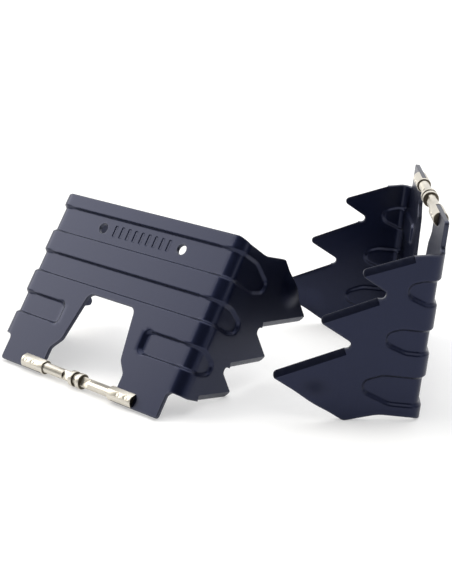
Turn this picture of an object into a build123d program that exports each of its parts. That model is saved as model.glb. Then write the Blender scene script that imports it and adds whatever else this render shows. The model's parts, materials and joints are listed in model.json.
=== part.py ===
"""A pair of ski crampons for pin bindings: one stands on its rear edge, one is tilted onto its front teeth.

Each crampon is modelled in its own frame and then placed: X runs across it along the axle, Y from its front
edge to its rear edge, and Z out of its outer face, so that the flanges and their teeth point to -Z.
The pair's frame has +Z up, and its origin on the ground under the middle of both crampons.
"""

import os
from math import asin, atan2, cos, hypot, radians, sin

from build123d import *

# Plate: pressed sheet, bent to a U
SHEET = 2.0
INNER_WIDTH = 110.0
BEND_RADIUS = 4.0
WEB_LENGTH = 85.6
LEG_INSET = 5.0
LEG_CORNER = 1.5
NOTCH_Y = 12.4
NOTCH_RADIUS = 2.6

# Cutout between the legs, half widths at distances from the front edge
CUTOUT_REAR = 41.8
CUTOUT_REAR_HALF = 14.3
CUTOUT_THROAT = 18.0
CUTOUT_THROAT_HALF = 18.8
CUTOUT_LEG = 12.6
CUTOUT_LEG_HALF = 23.3
CUTOUT_CORNER_RADIUS = 3.5
CUTOUT_THROAT_RADIUS = 5.0
CUTOUT_LEG_RADIUS = 3.0

# Teeth of one flange, front to rear: where each front edge starts, its point before rounding, its valley
TOOTH_FRONTS = [(13.65, -12.9), (33.0, -25.0), (56.1, -35.7)]
TOOTH_POINTS = [(22.6, -34.9), (44.5, -49.1), (70.7, -66.2)]
VALLEYS = [(32.6, -17.2), (55.15, -29.4)]
TIP_RADIUS = 2.0
VALLEY_RADIUS = 1.9
FLANGE_FRONT_RADIUS = 3.0

# Rear edge of the flange: a shallow hollow, set in from the web's, above a heel that the crampon can stand on
HEEL_REACH = 2.9
HEEL_DEPTH = 32.4
HEEL_RADIUS = 3.0
REAR_SET_IN = 1.5
REAR_HOLLOW_Z = -18.2
REAR_HOLLOW_RADIUS = 15.0
REAR_RELIEF_Z = -5.0
REAR_RELIEF_RADIUS = 1.5

# Ground bevel on the outer face of each tooth's front edge
BEVEL_WIDTH = 2.7
EDGE_LAND = 0.3

# Soft swell at the rear edge of the longest tooth
SWELL_CENTRE = (79.4, -45.4)
SWELL_RADIUS = 10.0
SWELL_HEIGHT = 1.5

# Pockets pressed into the outer face: front and rear edge, then the depths of front side, tip and rear side
POCKET_DEPTH = 1.3
POCKETS = [(66.4, 79.0, 18.5, 31.9, 14.5), (45.4, 55.6, 13.5, 25.9, 10.5), (23.8, 34.1, 7.0, 19.7, 4.5)]
POCKET_TIP_SHARE = 0.44
POCKET_TIP_RADIUS = 3.5
POCKET_SIDE_RADIUS = 8.0
LEG_POCKET_START = 25.6

# Holes and marks in the rear pocket
HOLE_DIAMETER = 4.8
HOLE_SPACING = 49.2
HOLE_SET_BACK = 6.8
TICK_COUNT = 9
TICK_PITCH = 4.2
TICK_LENGTH = 5.4
TICK_WIDTH = 1.4
TICK_DEPTH = 0.25

# Axle: turned rod with slotted ends
AXLE_LENGTH = 70.0
AXLE_END_DIAMETER = 6.6
AXLE_ROD_DIAMETER = 4.8
AXLE_COLLAR_DIAMETER = 7.2
COLLAR_GROOVE = 2.4
COLLAR_WIDTH = 2.2
NECK_LENGTH = 4.9
NECK_THICKNESS = 2.8
AXLE_END_LENGTH = 14.0
SLOT_CLEARANCE = 0.03
LEG_GAP = 0.7
FACET_SHARE = 0.91
FACET_TURN = -45.0

# Rivets through the axle's ends and the legs
RIVET_DIAMETER = 2.0
RIVET_CLEARANCE = 0.02
RIVET_SPACING = 5.0
RIVET_EDGE = 2.7
RIVET_PROUD = 0.1

# Places of the two crampons on the ground: the turn of each axle from +X, and the offset of the front edges
STANDING_TURN = -90.0
TILTED_TURN = -38.2
TILTED_OFFSET = (-157.3, -31.4)

WIDTH = INNER_WIDTH + 2 * SHEET
LEG_WIDTH = INNER_WIDTH - 2 * LEG_INSET
HEEL = (WEB_LENGTH + HEEL_REACH, -HEEL_DEPTH)
REAR_Y = WEB_LENGTH - REAR_SET_IN
HOLE_Y = POCKETS[0][0] + HOLE_SET_BACK
OUTER_RADIUS = BEND_RADIUS + SHEET
AXLE_Y = AXLE_END_DIAMETER / 2
AXLE_Z = -SHEET / 2
DEEP = WIDTH + WEB_LENGTH
CLEAR = 1.0


def channel(inset):
    """The bent sheet before anything is cut out, sunk inwards by inset."""
    with BuildPart() as bent:
        with BuildSketch(Plane.XZ):
            with Locations((0, -inset - DEEP)):
                RectangleRounded(WIDTH - 2 * inset, 2 * DEEP, OUTER_RADIUS - inset)
            with Locations((0, -inset - SHEET - DEEP)):
                RectangleRounded(
                    INNER_WIDTH - 2 * inset, 2 * DEEP, BEND_RADIUS - inset, mode=Mode.SUBTRACT
                )
        extrude(amount=-HEEL[0] - HEEL_RADIUS)
    return bent.part


def plan_outline():
    """The web seen from outside: legs, the notches beside them and the cutout between them."""
    leg = LEG_WIDTH / 2
    side = WIDTH / 2 + SWELL_HEIGHT + CLEAR
    corners = [(leg, 0, LEG_CORNER), (leg, NOTCH_Y, NOTCH_RADIUS), (side, NOTCH_Y, 0), (side, DEEP, 0)]
    gap = [
        (CUTOUT_LEG_HALF, -CLEAR, 0),
        (CUTOUT_LEG_HALF, CUTOUT_LEG, CUTOUT_LEG_RADIUS),
        (CUTOUT_THROAT_HALF, CUTOUT_THROAT, CUTOUT_THROAT_RADIUS),
        (CUTOUT_REAR_HALF, CUTOUT_REAR, CUTOUT_CORNER_RADIUS),
    ]
    with BuildPart() as plan:
        with BuildSketch(Plane.XY.offset(CLEAR)):
            for outline, mode in ((corners, Mode.ADD), (gap, Mode.SUBTRACT)):
                loop = outline + [(-x, y, radius) for x, y, radius in reversed(outline)]
                radii = [radius for x, y, radius in loop]
                with BuildLine():
                    FilletPolyline([(x, y) for x, y, radius in loop], radius=radii, close=True)
                make_face(mode=mode)
        extrude(amount=-DEEP)
    return plan.part


def side_corners():
    """Corners of a flange seen from its side, as (y, z, radius), from the web round the teeth to the heel."""
    corners = [(-CLEAR, CLEAR, 0), (-CLEAR, -OUTER_RADIUS, 0), (NOTCH_Y, -OUTER_RADIUS, 0)]
    corners.append((*TOOTH_FRONTS[0], FLANGE_FRONT_RADIUS))
    for index, point in enumerate(TOOTH_POINTS):
        if index:
            corners += [(*VALLEYS[index - 1], VALLEY_RADIUS), (*TOOTH_FRONTS[index], 0)]
        corners.append((*point, TIP_RADIUS))
    corners += [(*HEEL, HEEL_RADIUS), (REAR_Y, REAR_HOLLOW_Z, REAR_HOLLOW_RADIUS)]
    corners.append((REAR_Y, REAR_RELIEF_Z, REAR_RELIEF_RADIUS))
    return corners + [(WEB_LENGTH, -SHEET / 2, 0), (WEB_LENGTH, CLEAR, 0)]


def across(corners, start, length):
    """A solid with the given (y, z, radius) outline that runs along X from start for length."""
    radii = [radius for y, z, radius in corners]
    with BuildPart() as bar:
        with BuildSketch(Plane.YZ.offset(start)):
            with BuildLine():
                FilletPolyline([(y, z) for y, z, radius in corners], radius=radii, close=True)
            make_face()
        extrude(amount=length)
    return bar.part


def pocket_zones():
    """The space in which the sheet is sunk: two pockets right across, and one on each leg."""
    side = WIDTH / 2 + CLEAR
    leg_run = side - LEG_POCKET_START
    with BuildPart() as zones:
        for index, (front, rear, front_depth, tip_depth, rear_depth) in enumerate(POCKETS):
            tip = front + POCKET_TIP_SHARE * (rear - front)
            corners = [
                (front, SWELL_HEIGHT + CLEAR, 0),
                (front, -front_depth, POCKET_SIDE_RADIUS),
                (tip, -tip_depth, POCKET_TIP_RADIUS),
                (rear, -rear_depth, POCKET_SIDE_RADIUS),
                (rear, SWELL_HEIGHT + CLEAR, 0),
            ]
            runs = [(-side, 2 * side)] if index < 2 else [(-side, leg_run), (LEG_POCKET_START, leg_run)]
            for start, length in runs:
                add(across(corners, start, length))
    return zones.part


def bevels():
    """Wedges that grind the outer face of the +X flange to an edge along the front of each tooth."""
    knife = SHEET - EDGE_LAND
    with BuildPart() as wedges:
        for (front_y, front_z), (point_y, point_z) in zip(TOOTH_FRONTS, TOOTH_POINTS):
            run = hypot(point_y - front_y, point_z - front_z)
            along = Vector(0, (point_y - front_y) / run, (point_z - front_z) / run)
            start = Vector(WIDTH / 2, front_y, front_z)
            with BuildSketch(Plane(origin=start, x_dir=(1, 0, 0), z_dir=along)):
                with BuildLine():
                    Polyline(
                        (-knife, 0),
                        (CLEAR, -BEVEL_WIDTH * (1 + CLEAR / knife)),
                        (CLEAR, VALLEY_RADIUS),
                        (-knife, VALLEY_RADIUS),
                        close=True,
                    )
                make_face()
            extrude(amount=run + TIP_RADIUS)
        mirror(about=Plane.YZ)
    return wedges.part


def swell_caps(base):
    """Shallow caps that stand SWELL_HEIGHT above the flanges' surfaces at X = base, rooted in the sheet."""
    with BuildPart() as caps:
        with BuildSketch(Plane(origin=(base, *SWELL_CENTRE), x_dir=(1, 0, 0), z_dir=(0, 0, 1))):
            with BuildLine():
                crown = RadiusArc((SWELL_HEIGHT, 0), (0, SWELL_RADIUS), swell_ball_radius())
                Polyline(crown @ 1, (-SHEET / 2, SWELL_RADIUS), (-SHEET / 2, 0), crown @ 0)
            make_face()
        revolve(axis=Axis((base, *SWELL_CENTRE), (1, 0, 0)))
        mirror(about=Plane.YZ)
    return caps.part


def swell_ball_radius():
    """Radius of the ball that a swell is a cap of."""
    return (SWELL_RADIUS**2 + SWELL_HEIGHT**2) / (2 * SWELL_HEIGHT)


def make_plate():
    """The pressed plate: bent, with sunk pockets, cut teeth, ground edges, swells and holes."""
    zones = pocket_zones()
    with BuildPart() as sunk:
        add(channel(POCKET_DEPTH))
        add(zones, mode=Mode.INTERSECT)
    with BuildPart() as plate:
        add(channel(0))
        add(zones, mode=Mode.SUBTRACT)
        add(sunk.part)
        add(swell_caps(WIDTH / 2))
        add(swell_caps(INNER_WIDTH / 2), mode=Mode.SUBTRACT)
        add(plan_outline(), mode=Mode.INTERSECT)
        add(across(side_corners(), -DEEP, 2 * DEEP), mode=Mode.INTERSECT)
        add(bevels(), mode=Mode.SUBTRACT)
        with Locations((-HOLE_SPACING / 2, HOLE_Y, 0), (HOLE_SPACING / 2, HOLE_Y, 0)):
            Cylinder(HOLE_DIAMETER / 2, 4 * SHEET, mode=Mode.SUBTRACT)
        with Locations(*[(x, AXLE_Y, 0) for x in rivet_places()]):
            Cylinder(RIVET_DIAMETER / 2 + RIVET_CLEARANCE, 4 * SHEET, mode=Mode.SUBTRACT)
        with Locations((0, HOLE_Y, -POCKET_DEPTH)):
            with GridLocations(TICK_PITCH, 1, TICK_COUNT, 1):
                Box(TICK_WIDTH, TICK_LENGTH, 2 * TICK_DEPTH, mode=Mode.SUBTRACT)
    return plate.part


def rivet_places():
    """X of the four rivets, from the left end to the right."""
    outer = AXLE_LENGTH / 2 - RIVET_EDGE
    return [-outer, RIVET_SPACING - outer, outer - RIVET_SPACING, outer]


def make_axle():
    """The turned rod: collars, flat necks, plain rod, a long facet, and ends slotted to take the legs."""
    collar_end = COLLAR_GROOVE / 2 + COLLAR_WIDTH
    neck_end = collar_end + NECK_LENGTH
    end = AXLE_LENGTH / 2
    step = end - AXLE_END_LENGTH
    rod_radius = AXLE_ROD_DIAMETER / 2
    end_radius = AXLE_END_DIAMETER / 2
    profile = [
        (0, rod_radius, COLLAR_GROOVE / 2),
        (COLLAR_GROOVE / 2, AXLE_COLLAR_DIAMETER / 2, collar_end),
        (collar_end, rod_radius, step),
        (step, end_radius, end),
    ]
    slot_start = CUTOUT_LEG_HALF - LEG_GAP
    slot_length = end - slot_start + CLEAR
    flat = rod_radius - NECK_THICKNESS / 2 + CLEAR
    height = NECK_THICKNESS / 2 + flat / 2
    with BuildPart() as axle:
        for side in (-1, 1):
            for start, radius, finish in profile:
                centre = Vector(side * start, AXLE_Y, AXLE_Z)
                with BuildSketch(Plane(origin=centre, x_dir=(0, 1, 0), z_dir=(side, 0, 0))):
                    Circle(radius)
                extrude(amount=finish - start)
            with Locations((side * (slot_start + slot_length / 2), AXLE_Y, AXLE_Z)):
                Box(slot_length, 2 * AXLE_END_DIAMETER, SHEET + 2 * SLOT_CLEARANCE, mode=Mode.SUBTRACT)
            neck = side * (collar_end + NECK_LENGTH / 2)
            with Locations((neck, AXLE_Y, AXLE_Z + height), (neck, AXLE_Y, AXLE_Z - height)):
                Box(NECK_LENGTH, 2 * AXLE_ROD_DIAMETER, flat, mode=Mode.SUBTRACT)
            for start, radius, finish in ((neck_end, rod_radius, step), (step, end_radius, end)):
                with Locations(Location((side * (start + finish) / 2, AXLE_Y, AXLE_Z), (FACET_TURN, 0, 0))):
                    with Locations((0, 0, (FACET_SHARE * radius + end_radius) / 2)):
                        Box(
                            finish - start,
                            2 * end_radius,
                            end_radius - FACET_SHARE * radius,
                            mode=Mode.SUBTRACT,
                        )
        with Locations(*[(x, AXLE_Y, AXLE_Z) for x in rivet_places()]):
            Cylinder(RIVET_DIAMETER / 2 + RIVET_CLEARANCE, 2 * AXLE_END_DIAMETER, mode=Mode.SUBTRACT)
    return axle.part


def make_rivet(x):
    """One peened rivet, a touch proud of the axle's end on both sides."""
    with BuildPart() as rivet:
        with Locations((x, AXLE_Y, AXLE_Z)):
            Cylinder(RIVET_DIAMETER / 2, AXLE_END_DIAMETER + 2 * RIVET_PROUD)
        chamfer(rivet.edges().filter_by(GeomType.CIRCLE), 2 * RIVET_PROUD)
    return rivet.part


def rounding(before, corner, after, radius):
    """The rounding circle of a corner between its two neighbours, as (y, z, radius)."""
    tip = Vector(*corner)
    to_before = (Vector(*before) - tip).normalized()
    to_after = (Vector(*after) - tip).normalized()
    half = radians(to_before.get_angle(to_after) / 2)
    centre = tip + (to_before + to_after).normalized() * (radius / sin(half))
    return centre.X, centre.Y, radius


def rest_place(first, second, turn, offset):
    """Where a crampon stands on the ground on two (y, z, radius) circles, with its axle turned from +X."""
    run = hypot(second[0] - first[0], second[1] - first[1])
    line = atan2(second[1] - first[1], second[0] - first[0])
    lift = asin((second[2] - first[2]) / run)
    up_y = cos(line) * sin(lift) - sin(line) * cos(lift)
    up_z = sin(line) * sin(lift) + cos(line) * cos(lift)
    height = first[2] - first[0] * up_y - first[1] * up_z
    across_x = cos(radians(turn))
    across_y = sin(radians(turn))
    face = Vector(across_y * up_y, -across_x * up_y, up_z)
    return Plane(origin=(*offset, height), x_dir=(across_x, across_y, 0), z_dir=face).location


collar = (AXLE_Y, AXLE_Z, max(AXLE_COLLAR_DIAMETER, AXLE_END_DIAMETER) / 2)
first_tip = rounding(TOOTH_FRONTS[0], TOOTH_POINTS[0], VALLEYS[0], TIP_RADIUS)
heel = rounding(TOOTH_POINTS[2], HEEL, (REAR_Y, REAR_HOLLOW_Z), HEEL_RADIUS)
places = {
    "standing": rest_place(heel, (WEB_LENGTH, 0, 0), STANDING_TURN, (0, 0)),
    "tilted": rest_place(collar, first_tip, TILTED_TURN, TILTED_OFFSET),
}

pieces = {"plate": make_plate(), "axle": make_axle()}
for number, rivet_x in enumerate(rivet_places(), 1):
    pieces[f"rivet_{number}"] = make_rivet(rivet_x)

placed = {}
for crampon, location in places.items():
    for name, piece in pieces.items():
        placed[f"{crampon}_{name}"] = piece.moved(location)

box = Compound(list(placed.values())).bounding_box()
to_origin = Location((-box.center().X, -box.center().Y, -box.min.Z))
os.makedirs("parts", exist_ok=True)
for name, piece in placed.items():
    settled = piece.moved(to_origin)
    settled.label = name
    export_step(settled, f"parts/{name}.step")
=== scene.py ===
import json
from math import atan2, ceil, copysign, cos, hypot, pi, radians, sin, tan

import bmesh
import bpy
import numpy as np
from mathutils import Matrix, Vector
from mathutils.geometry import delaunay_2d_cdt
from mathutils.kdtree import KDTree

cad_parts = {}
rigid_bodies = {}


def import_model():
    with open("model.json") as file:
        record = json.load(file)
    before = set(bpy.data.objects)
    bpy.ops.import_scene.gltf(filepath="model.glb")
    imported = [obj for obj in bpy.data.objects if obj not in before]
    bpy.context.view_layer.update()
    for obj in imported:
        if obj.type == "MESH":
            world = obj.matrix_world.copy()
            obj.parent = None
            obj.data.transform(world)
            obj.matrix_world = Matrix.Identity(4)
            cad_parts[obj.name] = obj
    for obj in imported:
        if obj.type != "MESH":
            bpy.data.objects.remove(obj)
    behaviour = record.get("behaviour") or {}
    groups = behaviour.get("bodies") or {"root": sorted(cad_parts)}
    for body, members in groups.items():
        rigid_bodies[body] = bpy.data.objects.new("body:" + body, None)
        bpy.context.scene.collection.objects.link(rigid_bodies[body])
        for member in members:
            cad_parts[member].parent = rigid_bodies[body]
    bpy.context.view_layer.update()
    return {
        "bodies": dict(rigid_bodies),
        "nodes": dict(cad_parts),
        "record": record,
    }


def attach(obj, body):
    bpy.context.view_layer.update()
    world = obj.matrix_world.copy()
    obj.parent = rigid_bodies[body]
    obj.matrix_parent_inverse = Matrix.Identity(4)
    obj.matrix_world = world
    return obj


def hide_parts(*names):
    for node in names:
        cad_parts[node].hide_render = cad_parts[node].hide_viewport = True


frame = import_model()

# Two pressed ski crampons. Each is drawn flat, as a blank whose width u runs across it and whose length y
# runs from its front edge to its rear edge, and is then bent to a U. Blank sizes are in millimetres.
MM = 0.001

# Bent sheet
SHEET = 2.0
HALF_WIDTH = 57.0
BEND_OUTER = 6.0
FLAT_HALF = HALF_WIDTH - BEND_OUTER
BEND_END = FLAT_HALF + BEND_OUTER * pi / 2
FLANGE_TOP = BEND_END - BEND_OUTER
EDGE_BREAK = 0.24

# Blank outline: web from the cutout to the notch, then the flange's teeth as (depth below the face, y)
WEB_LENGTH = 85.6
WEB_CORNERS = [
    (14.3, 41.8, 3.5),
    (18.8, 18.0, 5.0),
    (23.3, 12.6, 3.0),
    (23.3, 0.0, 0.4),
    (50.0, 0.0, 1.5),
    (50.0, 12.4, 2.6),
    (BEND_END, 12.4, 8.0),
]
TOOTH_FRONTS = [(12.9, 13.65), (25.0, 33.0), (35.7, 56.1)]
TOOTH_POINTS = [(34.9, 22.6), (49.1, 44.5), (66.2, 70.7)]
VALLEYS = [(17.2, 32.6), (29.4, 55.15)]
HEEL = (32.4, 88.5)
REAR_HOLLOW = (18.2, 84.1)
REAR_RELIEF = (4.6, 84.1)
REAR_SHOULDER = (-1.6, WEB_LENGTH)
TIP_RADIUS = 2.0
VALLEY_RADIUS = 1.9
FIRST_FRONT_RADIUS = 3.0
HEEL_RADIUS = 3.0
REAR_HOLLOW_RADIUS = 15.0
REAR_RELIEF_RADIUS = 6.0
REAR_SHOULDER_RADIUS = 8.0

# Ground bevels along the fronts of the teeth
BEVEL_WIDTH = 2.7
BEVEL_DEPTH = 1.7
BEVEL_END_WALL = 0.15

# Swell at the rear edge of the longest tooth, as (depth below the face, y)
SWELL_CENTRE = (45.4, 79.4)
SWELL_RADIUS = 10.5
SWELL_HEIGHT = 1.5

# Pressed pockets: front and rear edge, then how far down the flange its front, tip and rear corners lie
POCKET_DEPTH = 1.3
WEB_WALL = 0.9
FLANGE_WALL = 1.9
LEG_END_WALL = 2.3
WALL_RINGS = (-1.2, -0.8, -0.5, -0.3, -0.15, 0.0, 0.15, 0.3, 0.5, 0.8, 1.2)
POCKETS = [(66.4, 79.0, 18.5, 31.9, 14.5), (45.4, 55.6, 13.5, 25.9, 10.5), (23.8, 34.1, 7.0, 19.7, 4.5)]
POCKET_TIP_RADIUS = 3.5
POCKET_SIDE_RADIUS = 8.0
POCKET_TIP_SHARE = 0.44
LEG_POCKET_START = 26.0
LEG_POCKET_CORNER = 2.6

# Holes and marks
HOLE_RADIUS = 2.4
HOLE_SPACING = 49.2
HOLE_Y = 73.2
RIVET_HOLE_RADIUS = 1.02
RIVET_PLACES = (27.3, 32.3)
RIVET_Y = 3.3
MARK_COUNT = 9
MARK_PITCH = 4.2
MARK_LENGTH = 5.4
MARK_WIDTH = 1.4
MARK_DEPTH = 0.25
MARK_WALL = 0.5
MARK_CORNER = 0.4

# Axle
AXLE_HALF = 35.0
AXLE_END_RADIUS = 3.3
AXLE_END_LENGTH = 14.0
ROD_RADIUS = 2.4
COLLAR_RADIUS = 3.6
COLLAR_GROOVE = 2.4
COLLAR_WIDTH = 2.2
NECK_LENGTH = 4.9
NECK_THICKNESS = 2.8
SLOT_START = 22.6
SLOT_GAP = 2.06
FACET_SHARE = 0.91
FACET_TURN = pi / 4
AXLE_BREAK = 0.2
COUNTERBORE_RING = 0.1
COUNTERBORE_DEPTH = 0.22
TURNED_SIDES = 72

# Mesh spacing
RING_STEP = 0.9
MARK_STEP = 0.4
RIVET_STEP = 0.5
GRID_STEP = 2.0
GRID_MARGIN = 0.7


def across(below_face):
    """u of a point on the flange that lies below_face under the web's outer face."""
    return FLANGE_TOP + below_face


def signed_area(corners):
    """Area inside a closed outline, positive when it runs anticlockwise."""
    following = corners[1:] + corners[:1]
    return sum(a[0] * b[1] - b[0] * a[1] for a, b in zip(corners, following)) / 2


def rounded(corners, grow=0.0, step=RING_STEP):
    """Points round a closed outline of (u, y, radius) corners, rounded and moved outwards by grow."""
    side = copysign(1, signed_area(corners))
    loop = []
    for index, (u, y, radius) in enumerate(corners):
        before = Vector(corners[index - 1][:2])
        corner = Vector((u, y))
        after = Vector(corners[(index + 1) % len(corners)][:2])
        arrive = (corner - before).normalized()
        leave = (after - corner).normalized()
        out_in = Vector((arrive.y, -arrive.x)) * side
        out_after = Vector((leave.y, -leave.x)) * side
        corner = corner + grow * (out_in + out_after) / (1 + out_in.dot(out_after))
        bend = arrive.x * leave.y - arrive.y * leave.x
        turn = atan2(bend, arrive.dot(leave))
        outward = 1 if turn * side > 0 else -1
        radius = max(radius + outward * grow, 0.0) if radius else 0.0
        reach = radius * tan(abs(turn) / 2)
        start = corner - arrive * reach
        centre = start - out_in * outward * radius
        pieces = max(2, ceil(abs(turn) / radians(14))) if radius else 0
        for piece in range(pieces + 1):
            angle = turn * piece / pieces if pieces else 0.0
            arm = start - centre
            turned_x = arm.x * cos(angle) - arm.y * sin(angle)
            loop.append(centre + Vector((turned_x, arm.x * sin(angle) + arm.y * cos(angle))))
    filled = []
    for index, point in enumerate(loop):
        after = loop[(index + 1) % len(loop)]
        pieces = max(1, ceil((after - point).length / step))
        filled += [point.lerp(after, piece / pieces) for piece in range(pieces)]
    return filled


def mirrored(corners):
    """A symmetric closed outline from its corners with positive u."""
    return corners + [(-u, y, radius) for u, y, radius in reversed(corners)]


def blank_corners():
    """The whole blank's outline, from the cutout round the teeth to the rear edge and back."""
    corners = list(WEB_CORNERS)
    for index, (front, point) in enumerate(zip(TOOTH_FRONTS, TOOTH_POINTS)):
        if index:
            valley = VALLEYS[index - 1]
            corners.append((across(valley[0]), valley[1], VALLEY_RADIUS))
        corners.append((across(front[0]), front[1], 0.0 if index else FIRST_FRONT_RADIUS))
        corners.append((across(point[0]), point[1], TIP_RADIUS))
    corners.append((across(HEEL[0]), HEEL[1], HEEL_RADIUS))
    corners.append((across(REAR_HOLLOW[0]), REAR_HOLLOW[1], REAR_HOLLOW_RADIUS))
    corners.append((across(REAR_RELIEF[0]), REAR_RELIEF[1], REAR_RELIEF_RADIUS))
    corners.append((across(REAR_SHOULDER[0]), REAR_SHOULDER[1], REAR_SHOULDER_RADIUS))
    return mirrored(corners)


def pocket_outlines():
    """Outlines of the pressed pockets, on the middle of their walls."""
    outlines = []
    for index, (front, rear, front_depth, tip_depth, rear_depth) in enumerate(POCKETS):
        tip = front + POCKET_TIP_SHARE * (rear - front)
        half = [
            (across(front_depth), front, POCKET_SIDE_RADIUS),
            (across(tip_depth), tip, POCKET_TIP_RADIUS),
            (across(rear_depth), rear, POCKET_SIDE_RADIUS),
        ]
        if index < 2:
            outlines.append(mirrored(half))
            continue
        closed_end = [(LEG_POCKET_START, y, LEG_POCKET_CORNER) for y in (front, rear)]
        half = [closed_end[0], *half, closed_end[1]]
        outlines.append(half)
        outlines.append([(-u, y, radius) for u, y, radius in half])
    return outlines


def circle(u, y, radius, step):
    """Points round a circle."""
    pieces = max(12, ceil(2 * pi * radius / step))
    angles = [2 * pi * k / pieces for k in range(pieces)]
    return [Vector((u + radius * cos(angle), y + radius * sin(angle))) for angle in angles]


def mark_outlines():
    """Outlines of the row of plain strokes pressed into the rear pocket."""
    first = -MARK_PITCH * (MARK_COUNT - 1) / 2
    half_width = MARK_WIDTH / 2
    half_length = MARK_LENGTH / 2
    outlines = []
    for number in range(MARK_COUNT):
        u = first + MARK_PITCH * number
        ways = ((-1, -1), (1, -1), (1, 1), (-1, 1))
        outlines.append([(u + a * half_width, HOLE_Y + b * half_length, MARK_CORNER) for a, b in ways])
    return outlines


def inside_by(places, loop):
    """How far inside a closed loop each place lies, negative outside it."""
    start = np.array(loop)
    edge = np.roll(start, -1, axis=0) - start
    length2 = np.maximum((edge**2).sum(1), 1e-12)
    result = np.empty(len(places))
    for low in range(0, len(places), 1500):
        part = places[low : low + 1500, None, :] - start[None]
        along = np.clip((part * edge).sum(2) / length2, 0, 1)
        gap = np.sqrt(((part - along[..., None] * edge) ** 2).sum(2)).min(1)
        crosses = (part[..., 1] >= 0) != (part[..., 1] - edge[:, 1] >= 0)
        with np.errstate(divide="ignore", invalid="ignore"):
            at = part[..., 0] - part[..., 1] * edge[:, 0] / edge[:, 1]
        odd = (crosses & (at < 0)).sum(1) % 2 == 1
        result[low : low + 1500] = np.where(odd, gap, -gap)
    return result


def smooth(share):
    """Eased 0 to 1."""
    share = np.clip(share, 0, 1)
    return share * share * (3 - 2 * share)


def bevel_frames():
    """For each tooth front on the +u flange: its start, its direction, the way into the tooth, its length."""
    frames = []
    for front, point in zip(TOOTH_FRONTS, TOOTH_POINTS):
        start = Vector((across(front[0]), front[1]))
        along = Vector((across(point[0]), point[1])) - start
        frames.append((start, along.normalized(), Vector((-along.y, along.x)).normalized(), along.length))
    return frames


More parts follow.
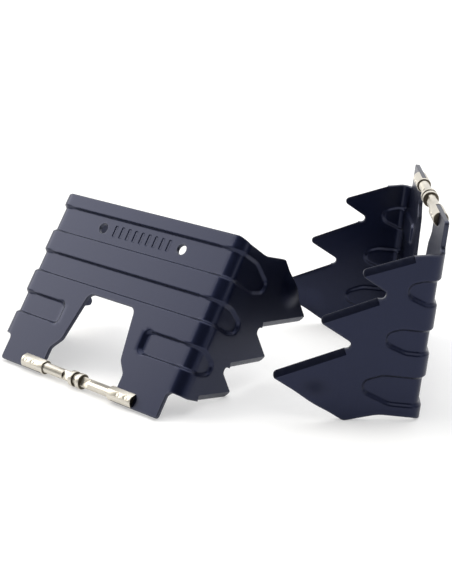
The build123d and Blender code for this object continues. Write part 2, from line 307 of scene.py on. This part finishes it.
class Blank:
    """The flat blank: its outline, its triangles, and how far every place is pressed or ground."""

    def __init__(self):
        self.outline = rounded(blank_corners())
        self.pockets = pocket_outlines()
        self.marks = mark_outlines()
        holes = [(side * HOLE_SPACING / 2, HOLE_Y, HOLE_RADIUS, MARK_STEP) for side in (-1, 1)]
        rivets = [side * u for side in (-1, 1) for u in RIVET_PLACES]
        holes += [(u, RIVET_Y, RIVET_HOLE_RADIUS, RIVET_STEP) for u in rivets]
        self.holes = [circle(*hole) for hole in holes]
        self.break_rings = [circle(u, y, radius + EDGE_BREAK, step) for u, y, radius, step in holes]
        self.triangulate()

    def pressed(self, places):
        """Height of the sheet over its flat state, from the pockets and the swells."""
        height = np.zeros(len(places))
        for corners in self.pockets:
            depth = inside_by(places, rounded(corners))
            height -= POCKET_DEPTH * smooth(depth / self.wall(places, corners) + 0.5)
        out = np.hypot(np.abs(places[:, 0]) - across(SWELL_CENTRE[0]), places[:, 1] - SWELL_CENTRE[1])
        return height + SWELL_HEIGHT * smooth(1 - out / SWELL_RADIUS)

    def wall(self, places, corners):
        """Width of a pocket's wall: crisp on the web, softer on the flanges and at a leg pocket's end."""
        u = np.abs(places[:, 0])
        wall = WEB_WALL + (FLANGE_WALL - WEB_WALL) * smooth((u - FLAT_HALF + 7) / 10)
        if min(abs(corner[0]) for corner in corners) < LEG_POCKET_START + 1:
            wall = wall + (LEG_END_WALL - WEB_WALL) * smooth((LEG_POCKET_START + 5 - u) / 4)
        return wall

    def ground(self, places):
        """How much the bevels and the marks take off the outer face."""
        taken = np.zeros(len(places))
        for start, along, inward, length in bevel_frames():
            arm = np.stack([np.abs(places[:, 0]) - start.x, places[:, 1] - start.y], 1)
            run = arm @ np.array(along)
            depth = arm @ np.array(inward)
            ramp = np.clip(run / BEVEL_END_WALL, 0, 1)
            cut = BEVEL_DEPTH * np.clip(1 - depth / BEVEL_WIDTH, 0, 1) * ramp
            here = (depth > -1) & (run < length + 2 * TIP_RADIUS)
            taken = np.maximum(taken, np.where(here, cut, 0))
        for corners in self.marks:
            depth = inside_by(places, rounded(corners, step=MARK_STEP))
            taken = np.maximum(taken, MARK_DEPTH * smooth(depth / MARK_WALL + 0.5))
        return taken

    def triangulate(self):
        """Delaunay triangles that follow every edge, crease and pressed wall."""
        loops = [self.outline, rounded(blank_corners(), -EDGE_BREAK), *self.holes, *self.break_rings]
        for corners in self.pockets:
            loops += [rounded(corners, ring) for ring in WALL_RINGS]
        for corners in self.marks:
            loops += [rounded(corners, MARK_WALL * share, MARK_STEP) for share in (-0.5, 0, 0.5)]
        points = []
        edges = []
        for loop in loops:
            first = len(points)
            points += loop
            edges += [(first + k, first + (k + 1) % len(loop)) for k in range(len(loop))]
        for start, along, inward, length in bevel_frames():
            creases = [((0, -0.5), (0, BEVEL_WIDTH))]
            creases.append(((BEVEL_END_WALL, -0.5), (BEVEL_END_WALL, BEVEL_WIDTH)))
            creases.append(((0, BEVEL_WIDTH), (length + TIP_RADIUS, BEVEL_WIDTH)))
            for ends in creases:
                for side in (1, -1):
                    first = len(points)
                    for run, depth in ends:
                        place = start + along * run + inward * depth
                        points.append(Vector((side * place.x, place.y)))
                    edges.append((first, first + 1))
        tree = KDTree(len(points))
        for index, point in enumerate(points):
            tree.insert((*point, 0), index)
        tree.balance()
        spare = [p for p in self.grid() if tree.find((*p, 0))[2] > 0.5]
        points += [Vector(p) for p in spare]
        found, _, faces, _, _, _ = delaunay_2d_cdt(points, edges, [], 0, 1e-5)
        self.places = np.array(found)
        faces = np.array([face for face in faces if len(face) == 3])
        middles = self.places[faces].mean(1)
        keep = inside_by(middles, self.outline) > 0
        for hole in self.holes:
            keep &= inside_by(middles, hole) < 0
        self.faces = faces[keep]
        corners = self.places[self.faces]
        first_side = corners[:, 1] - corners[:, 0]
        second_side = corners[:, 2] - corners[:, 0]
        clockwise = first_side[:, 0] * second_side[:, 1] < first_side[:, 1] * second_side[:, 0]
        self.faces[clockwise] = self.faces[clockwise][:, ::-1]

    def on_swell(self, place):
        """Whether a place lies on the +u flange's swell."""
        u, y = place
        return hypot(u - across(SWELL_CENTRE[0]), y - SWELL_CENTRE[1]) < SWELL_RADIUS

    def grid(self):
        """Background places, closer together across the bends and on the swells."""
        reach = across(TOOTH_POINTS[-1][0])
        rows = np.arange(0, HEEL[1], GRID_STEP)
        bend = np.linspace(FLAT_HALF, BEND_END, 13)
        columns = np.arange(GRID_STEP / 2, reach, GRID_STEP)
        columns = [u for u in columns if not FLAT_HALF - 1 < u < BEND_END + 1]
        squares = [(u, y) for u in [*columns, *bend] for y in rows]
        rings = []
        for ring in np.arange(0, SWELL_RADIUS, 1.0):
            pieces = max(1, ceil(2 * pi * ring))
            for k in range(pieces):
                angle = 2 * pi * k / pieces
                u = across(SWELL_CENTRE[0]) + ring * cos(angle)
                rings.append((u, SWELL_CENTRE[1] + ring * sin(angle)))
        places = [p for p in squares if not self.on_swell(p)] + rings
        places += [(-u, y) for u, y in places]
        inside = inside_by(np.array(places), self.outline)
        return [p for p, depth in zip(places, inside) if depth > GRID_MARGIN]


def bend(places, height):
    """Where places of the blank lie once the sheet is bent, at a height over its nominal outer face."""
    u = np.abs(places[:, 0])
    side = np.sign(places[:, 0])
    angle = np.clip((u - FLAT_HALF) / BEND_OUTER, 0, pi / 2)
    below = np.maximum(u - BEND_END, 0)
    x = np.minimum(u, FLAT_HALF) + (BEND_OUTER + height) * np.sin(angle)
    z = -BEND_OUTER + (BEND_OUTER + height) * np.cos(angle) - below
    return np.stack([side * x, places[:, 1], z], 1)


def plate_mesh(blank):
    """The bent plate as one closed skin: outer face, inner face and the rim between them."""
    faces = blank.faces
    used = np.unique(faces)
    number = np.full(len(blank.places), -1)
    number[used] = np.arange(len(used))
    faces = number[faces]
    places = blank.places[used]
    pressed = blank.pressed(places)
    taken = blank.ground(places)
    count = len(places)
    sides = np.concatenate([faces[:, [0, 1]], faces[:, [1, 2]], faces[:, [2, 0]]])
    have = {tuple(side) for side in sides.tolist()}
    rim = np.array([side for side in sides.tolist() if (side[1], side[0]) not in have])
    edge = np.zeros(count, bool)
    edge[rim.ravel()] = True
    drop = np.where(edge, np.minimum(EDGE_BREAK, (SHEET - taken) * 0.3), 0)
    outer = bend(places, pressed - taken - drop)
    inner = bend(places, pressed - SHEET + drop)
    walls = np.stack([rim[:, 1], rim[:, 0], rim[:, 0] + count, rim[:, 1] + count], 1)
    mesh = bpy.data.meshes.new("crampon_plate")
    polygons = faces.tolist() + (faces[:, ::-1] + count).tolist() + walls.tolist()
    mesh.from_pydata(np.concatenate([outer, inner]).tolist(), [], polygons)
    blank_place = np.zeros((2 * count, 3), np.float32)
    blank_place[:, :2] = np.concatenate([places, places]) * MM
    blank_place[count:, 2] = -SHEET * MM
    lay = mesh.attributes.new("blank_place", "FLOAT_VECTOR", "POINT")
    lay.data.foreach_set("vector", blank_place.ravel())
    gap = np.full(count, 5.0)
    for loop in (blank.outline, *blank.holes):
        gap = np.minimum(gap, np.abs(inside_by(places, loop)))
    rub = np.exp(-gap / 0.5)
    store(mesh, "rubbed_edge", np.concatenate([rub, rub]))
    bevel = np.where(np.abs(places[:, 0]) > BEND_END, np.clip(taken / 0.1, 0, 1), 0)
    store(mesh, "ground_bevel", np.concatenate([bevel, bevel * 0]))
    mesh.validate()
    mesh.shade_smooth()
    mesh.set_sharp_from_angle(angle=radians(26))
    return mesh


def store(mesh, name, values):
    """A number for every vertex, for materials to read."""
    mesh.attributes.new(name, "FLOAT", "POINT").data.foreach_set("value", values.astype(np.float32))


class Number:
    """A number socket of a finish, so that shader maths reads as plain arithmetic."""

    def __init__(self, finish, socket):
        self.finish = finish
        self.socket = socket

    def maths(self, operation, *others, clamp=False):
        settings = {"operation": operation, "use_clamp": clamp}
        inputs = {place: other for place, other in enumerate((self, *others))}
        return Number(self.finish, self.finish.node("ShaderNodeMath", settings, inputs).outputs[0])

    def __add__(self, other):
        return self.maths("ADD", other)

    __radd__ = __add__

    def __mul__(self, other):
        return self.maths("MULTIPLY", other)

    __rmul__ = __mul__

    def __sub__(self, other):
        return self.maths("SUBTRACT", other)

    def __rsub__(self, other):
        return (self * -1) + other

    def __pow__(self, other):
        return self.maths("POWER", other)

    def between(self, low, high):
        """0 below low, 1 above high, eased between them."""
        settings = {"interpolation_type": "SMOOTHSTEP"}
        inputs = {"Value": self, "From Min": low, "From Max": high}
        return Number(self.finish, self.finish.node("ShaderNodeMapRange", settings, inputs).outputs["Result"])


class Nodes:
    """A node tree that is being filled."""

    def __init__(self, tree):
        self.tree = tree
        self.tree.nodes.clear()

    def node(self, kind, settings, inputs):
        """A node with its settings set first, then the values or links of its sockets."""
        made = self.tree.nodes.new(kind)
        for setting, value in settings.items():
            setattr(made, setting, value)
        for socket, value in inputs.items():
            value = value.socket if isinstance(value, Number) else value
            if isinstance(value, bpy.types.NodeSocket):
                self.tree.links.new(value, made.inputs[socket])
            else:
                made.inputs[socket].default_value = value
        return made

    def blend(self, share, first, second):
        """A colour between two others."""
        settings = {"data_type": "RGBA", "clamp_factor": True}
        return self.node("ShaderNodeMix", settings, {0: share, 6: first, 7: second}).outputs[2]


class Finish(Nodes):
    """One procedural material on a Principled surface."""

    def __init__(self, name, blank=False):
        self.material = bpy.data.materials.new(name)
        self.material.use_nodes = True
        super().__init__(self.material.node_tree)
        self.surface = self.node("ShaderNodeBsdfPrincipled", {}, {})
        self.node("ShaderNodeOutputMaterial", {}, {"Surface": self.surface.outputs[0]})
        if blank:
            reader = self.node("ShaderNodeAttribute", {"attribute_name": "blank_place"}, {})
            self.coordinates = reader.outputs["Vector"]
        else:
            self.coordinates = self.node("ShaderNodeTexCoord", {}, {}).outputs["Object"]

    def noise(self, scale, detail=3.0, roughness=0.55):
        """Cloudy noise about 0.5, with scale given for each axis in cycles a metre."""
        place = self.node("ShaderNodeVectorMath", {"operation": "MULTIPLY"}, {0: self.coordinates, 1: scale})
        inputs = {"Vector": place.outputs[0], "Scale": 1.0, "Detail": detail, "Roughness": roughness}
        return Number(self, self.node("ShaderNodeTexNoise", {}, inputs).outputs["Fac"])

    def stored(self, name):
        """A number kept on the mesh."""
        return Number(self, self.node("ShaderNodeAttribute", {"attribute_name": name}, {}).outputs["Fac"])

    def constants(self, **values):
        """Numbers that are the same all over, set on the surface's own sockets."""
        for name, value in values.items():
            self.surface.inputs[name.replace("_", " ")].default_value = value

    def drive(self, name, value):
        """A socket of the surface that changes over the piece."""
        self.tree.links.new(value.socket if isinstance(value, Number) else value, self.surface.inputs[name])

    def bump(self, height, distance, strength=1.0):
        """Fine relief, with height in shares of distance in metres."""
        inputs = {"Height": height, "Distance": distance, "Strength": strength}
        self.drive("Normal", self.node("ShaderNodeBump", {}, inputs).outputs["Normal"])


def grey(level):
    """An opaque neutral colour."""
    return (level, level, level, 1.0)


def anodised_plate():
    """Dark blue satin anodising over rolled and pressed sheet, a little rubbed where it was cut."""
    finish = Finish("dark_blue_anodised", blank=True)
    etch = finish.noise((2600, 2600, 2600), 2.0)
    rolling = finish.noise((900, 45, 900), 3.0)
    cloud = finish.noise((70, 55, 70), 4.0)
    edge = finish.stored("rubbed_edge")
    bevel = finish.stored("ground_bevel")
    grinding = finish.noise((300, 3000, 300), 2.0)
    shade = (cloud - 0.5) * 0.8 + (rolling - 0.5) * 0.5 + 0.5
    dye = finish.blend(shade, (0.0072, 0.0105, 0.032, 1), (0.0112, 0.0155, 0.044, 1))
    rubbed = (edge * 1.25 + (cloud - 0.5) * 0.9 - 0.25).between(0.1, 1.0)
    dye = finish.blend(rubbed * 0.35, dye, (0.09, 0.095, 0.12, 1))
    finish.drive("Base Color", finish.blend(bevel * 0.25, dye, (0.03, 0.031, 0.038, 1)))
    finish.drive("Roughness", (etch - 0.5) * 0.1 + (cloud - 0.5) * 0.12 + (rolling - 0.5) * 0.06 + 0.45)
    finish.constants(Metallic=1.0, Coat_Weight=0.4, Coat_Roughness=0.24)
    finish.bump(etch * 0.5 + rolling * 0.3 + grinding * bevel * 0.8, 0.000008)
    return finish.material


def nickel_axle():
    """Bright nickel over turned steel, with fine turning lines."""
    finish = Finish("turned_nickel")
    turning = finish.noise((1900, 1900, 1900), 2.0)
    cloud = finish.noise((220, 220, 220), 3.0)
    colour = finish.blend((cloud - 0.5) * 1.2 + 0.5, (0.60, 0.565, 0.49, 1), (0.70, 0.665, 0.60, 1))
    finish.drive("Base Color", colour)
    finish.drive("Roughness", (cloud - 0.5) * 0.12 + (turning - 0.5) * 0.08 + 0.4)
    finish.constants(Metallic=1.0)
    finish.bump(turning, 0.0000012)
    return finish.material


def painted_shade_end_faces():
    """Brownish dark ends and shoulders: painted shade, standing in for the shadow and dark reflections these
    faces show, not a finish of their own.
    """
    finish = Finish("painted_shade_end_face")
    cloud = finish.noise((700, 700, 700), 3.0)
    finish.drive("Base Color", finish.blend(cloud, (0.055, 0.045, 0.03, 1), (0.16, 0.14, 0.11, 1)))
    finish.drive("Roughness", (cloud - 0.5) * 0.2 + 0.42)
    finish.constants(Metallic=1.0)
    finish.bump(cloud, 0.00001)
    return finish.material


def peened_rivet():
    """Nickel rivet heads, dimpled a little by peening."""
    finish = Finish("peened_nickel")
    dimple = finish.noise((1400, 1400, 1400), 2.0)
    finish.drive("Base Color", finish.blend(dimple, (0.54, 0.51, 0.45, 1), (0.70, 0.67, 0.62, 1)))
    finish.drive("Roughness", (dimple - 0.5) * 0.12 + 0.42)
    finish.constants(Metallic=1.0)
    finish.bump(dimple, 0.00001)
    return finish.material


def floor_paint():
    """Plain pale studio floor, lit a little from below as a light table."""
    finish = Finish("pale_floor")
    cloud = finish.noise((3, 3, 3), 2.0)
    finish.drive("Base Color", finish.blend(cloud, grey(0.66), grey(0.68)))
    finish.constants(Roughness=0.9, Specular_IOR_Level=0.1, Emission_Color=grey(1.0), Emission_Strength=0.36)
    return finish.material


def turned_body():
    """The axle's turned body in its own frame, as a closed lathed mesh along X, with broken corners."""
    step = AXLE_HALF - AXLE_END_LENGTH
    stretches = [(COLLAR_GROOVE / 2, ROD_RADIUS), (COLLAR_GROOVE / 2 + COLLAR_WIDTH, COLLAR_RADIUS)]
    stretches += [(step, ROD_RADIUS), (AXLE_HALF, AXLE_END_RADIUS)]
    half = []
    start = 0.0
    for number, (end, radius) in enumerate(stretches):
        before = stretches[number - 1][1] if number else radius
        after = stretches[number + 1][1] if end < AXLE_HALF else 0.0
        if radius > before:
            half += [(start, radius - AXLE_BREAK), (start + AXLE_BREAK, radius)]
        else:
            half.append((start, radius))
        if radius > after:
            half += [(end - AXLE_BREAK, radius), (end, radius - AXLE_BREAK)]
        else:
            half.append((end, radius))
        start = end
    profile = [(-x, radius) for x, radius in reversed(half[1:])] + half[1:]
    body = bmesh.new()
    rings = []
    for x, radius in profile:
        angles = [2 * pi * k / TURNED_SIDES for k in range(TURNED_SIDES)]
        rings.append([body.verts.new((x, radius * cos(a), radius * sin(a))) for a in angles])
    for ring, following in zip(rings, rings[1:]):
        for k in range(TURNED_SIDES):
            after = (k + 1) % TURNED_SIDES
            body.faces.new((ring[k], ring[after], following[after], following[k]))
    body.faces.new(rings[0][::-1])
    body.faces.new(rings[-1])
    bmesh.ops.recalc_face_normals(body, faces=body.faces)
    return body


def axle_cutters():
    """What is milled off the turned body: leg slots, neck flats, long facets and the rivets' counterbores."""
    cutters = bmesh.new()
    step = AXLE_HALF - AXLE_END_LENGTH
    collar_end = COLLAR_GROOVE / 2 + COLLAR_WIDTH
    neck_end = collar_end + NECK_LENGTH
    blocks = []
    for side in (-1, 1):
        middle = side * (SLOT_START + AXLE_HALF + 1) / 2
        blocks.append(((middle, 0, 0), (AXLE_HALF + 1 - SLOT_START, 9, SLOT_GAP), 0))
        for up in (-1, 1):
            place = (side * (collar_end + neck_end) / 2, 0, up * (NECK_THICKNESS / 2 + 1))
            blocks.append((place, (NECK_LENGTH, 9, 2), 0))
        for start, end, radius in ((neck_end, step, ROD_RADIUS), (step, AXLE_HALF + 1, AXLE_END_RADIUS)):
            reach = radius * FACET_SHARE + 0.5
            out = (side * (start + end) / 2, reach * cos(FACET_TURN), reach * sin(FACET_TURN))
            blocks.append((out, (end - start, 1, 9), FACET_TURN))
    for place, sizes, turn in blocks:
        matrix = Matrix.Translation(place) @ Matrix.Rotation(turn, 4, "X") @ Matrix.Diagonal((*sizes, 1))
        bmesh.ops.create_cube(cutters, size=1, matrix=matrix)
    for x in [side * place for side in (-1, 1) for place in RIVET_PLACES]:
        for up in (-1, 1):
            matrix = Matrix.Translation((x, 0, up * (AXLE_END_RADIUS + 1 - COUNTERBORE_DEPTH)))
            radius = RIVET_HOLE_RADIUS + COUNTERBORE_RING
            bmesh.ops.create_cone(
                cutters, cap_ends=True, segments=28, radius1=radius, radius2=radius, depth=2, matrix=matrix
            )
    return cutters


def shaped(name, body, cutters):
    """The body less the cutters, with its edges broken, as a mesh in the crampon's own frame."""
    objects = []
    for part in (body, cutters):
        mesh = bpy.data.meshes.new(name)
        part.to_mesh(mesh)
        part.free()
        objects.append(bpy.data.objects.new(name, mesh))
        bpy.context.scene.collection.objects.link(objects[-1])
    blank, tool = objects
    cut = blank.modifiers.new("cut", "BOOLEAN")
    cut.object = tool
    cut.operation = "DIFFERENCE"
    cut.solver = "EXACT"
    cut.use_self = True
    breaking = blank.modifiers.new("broken_edges", "BEVEL")
    breaking.width = 0.12
    breaking.segments = 2
    breaking.limit_method = "ANGLE"
    breaking.angle_limit = radians(38)
    breaking.use_clamp_overlap = True
    done = bpy.data.meshes.new_from_object(blank.evaluated_get(bpy.context.evaluated_depsgraph_get()))
    for leftover in objects:
        bpy.data.objects.remove(leftover)
    return done


def axle_mesh():
    """The finished axle, with its end faces and shoulders in the second material, a painted shade."""
    mesh = shaped("crampon_axle", turned_body(), axle_cutters())
    mesh.materials.append(nickel_axle())
    mesh.materials.append(painted_shade_end_faces())
    # Faces along the axle's length get the dark painted-shade material that stands in for their shadow and
    # dark reflections
    for face in mesh.polygons:
        face.material_index = 1 if abs(face.normal.x) > 0.97 else 0
    mesh.shade_smooth()
    mesh.set_sharp_from_angle(angle=radians(30))
    mesh.transform(Matrix.Translation((0, RIVET_Y, -SHEET / 2)))
    return mesh


def crampon_place(crampon):
    """A crampon's own frame in the row: X across it, Y from its front edge to its rear, Z out of its face."""
    mounts = {mount["name"]: mount for mount in frame["record"]["mounts"]}
    left = Vector(mounts[f"{crampon}_hole_left"]["pos_m"])
    right = Vector(mounts[f"{crampon}_hole_right"]["pos_m"])
    face = Vector(mounts[f"{crampon}_hole_left"]["axis"]).normalized()
    sideways = (right - left).normalized()
    rearward = face.cross(sideways)
    hole_z = -POCKET_DEPTH - SHEET / 2
    origin = (left + right) / 2 - rearward * HOLE_Y * MM - face * hole_z * MM
    turn = Matrix((sideways, rearward, face)).transposed().to_4x4()
    return Matrix.Translation(origin) @ turn


def put(name, mesh, crampon, node):
    """A piece made in a crampon's own frame in millimetres, set where its CAD node lies."""
    piece = bpy.data.objects.new(name, mesh.copy())
    piece.data.transform(crampon_place(crampon) @ Matrix.Scale(MM, 4))
    bpy.context.scene.collection.objects.link(piece)
    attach(piece, crampon)
    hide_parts(node)


def build_crampons():
    """Both plates and axles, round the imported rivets."""
    plate = plate_mesh(Blank())
    plate.materials.append(anodised_plate())
    axle = axle_mesh()
    for crampon in frame["bodies"]:
        put(f"{crampon}_pressed_plate", plate, crampon, f"{crampon}_plate")
        put(f"{crampon}_turned_axle", axle, crampon, f"{crampon}_axle")
    rivet = peened_rivet()
    for name, node in frame["nodes"].items():
        if "_rivet_" in name:
            node.data.materials.clear()
            node.data.materials.append(rivet)


def soft_sun(name, toward, spread, radiance, colour=(1.0, 1.0, 1.0)):
    """A far round softbox that lies in a direction from the object, spread degrees wide, of a brightness."""
    light = bpy.data.lights.new(name, "SUN")
    light.angle = radians(spread)
    light.energy = radiance * 2 * pi * (1 - cos(radians(spread / 2)))
    light.color = colour
    holder = bpy.data.objects.new(name, light)
    bpy.context.scene.collection.objects.link(holder)
    holder.rotation_euler = Vector(toward).to_track_quat("Z", "Y").to_euler()


def build_studio():
    """Pale floor, surroundings that are darker in front than behind, and far softboxes."""
    mesh = bpy.data.meshes.new("floor")
    reach = 12.0
    corners = [(-reach, -reach, 0), (reach, -reach, 0), (reach, reach, 0), (-reach, reach, 0)]
    mesh.from_pydata(corners, [], [(0, 1, 2, 3)])
    mesh.materials.append(floor_paint())
    floor = bpy.data.objects.new("floor", mesh)
    bpy.context.scene.collection.objects.link(floor)
    world = bpy.data.worlds.new("studio")
    world.use_nodes = True
    sky = Nodes(world.node_tree)
    direction = sky.node("ShaderNodeTexCoord", {}, {}).outputs["Generated"]
    depth = Number(sky, sky.node("ShaderNodeSeparateXYZ", {}, {0: direction}).outputs["Y"])
    colour = sky.blend(depth.between(-0.4, 0.6), grey(0.12), grey(1.0))
    background = sky.node("ShaderNodeBackground", {}, {"Color": colour, "Strength": 1.0})
    sky.node("ShaderNodeOutputWorld", {}, {"Surface": background.outputs[0]})
    bpy.context.scene.world = world
    soft_sun("left_softbox", (-0.82, 0.24, 0.5), 40, 4.05, (1.0, 0.965, 0.88))
    soft_sun("top_softbox", (0.1, 0.15, 1.0), 80, 1.25)
    soft_sun("right_softbox", (0.78, -0.48, 0.36), 30, 1.2)


def build_camera():
    """Camera at the object's three-quarter front, a little above it."""
    camera = bpy.data.cameras.new("camera")
    camera.lens = 72.13
    camera.sensor_width = 36.0
    holder = bpy.data.objects.new("camera", camera)
    bpy.context.scene.collection.objects.link(holder)
    holder.location = crampon_place("standing").translation + Vector((-0.07505, -0.50359, 0.13060))
    holder.rotation_euler = (radians(70.348), radians(-0.453), radians(1.983))
    bpy.context.scene.camera = holder


build_camera()
build_crampons()
build_studio()
bpy.context.scene.view_settings.view_transform = "Standard"
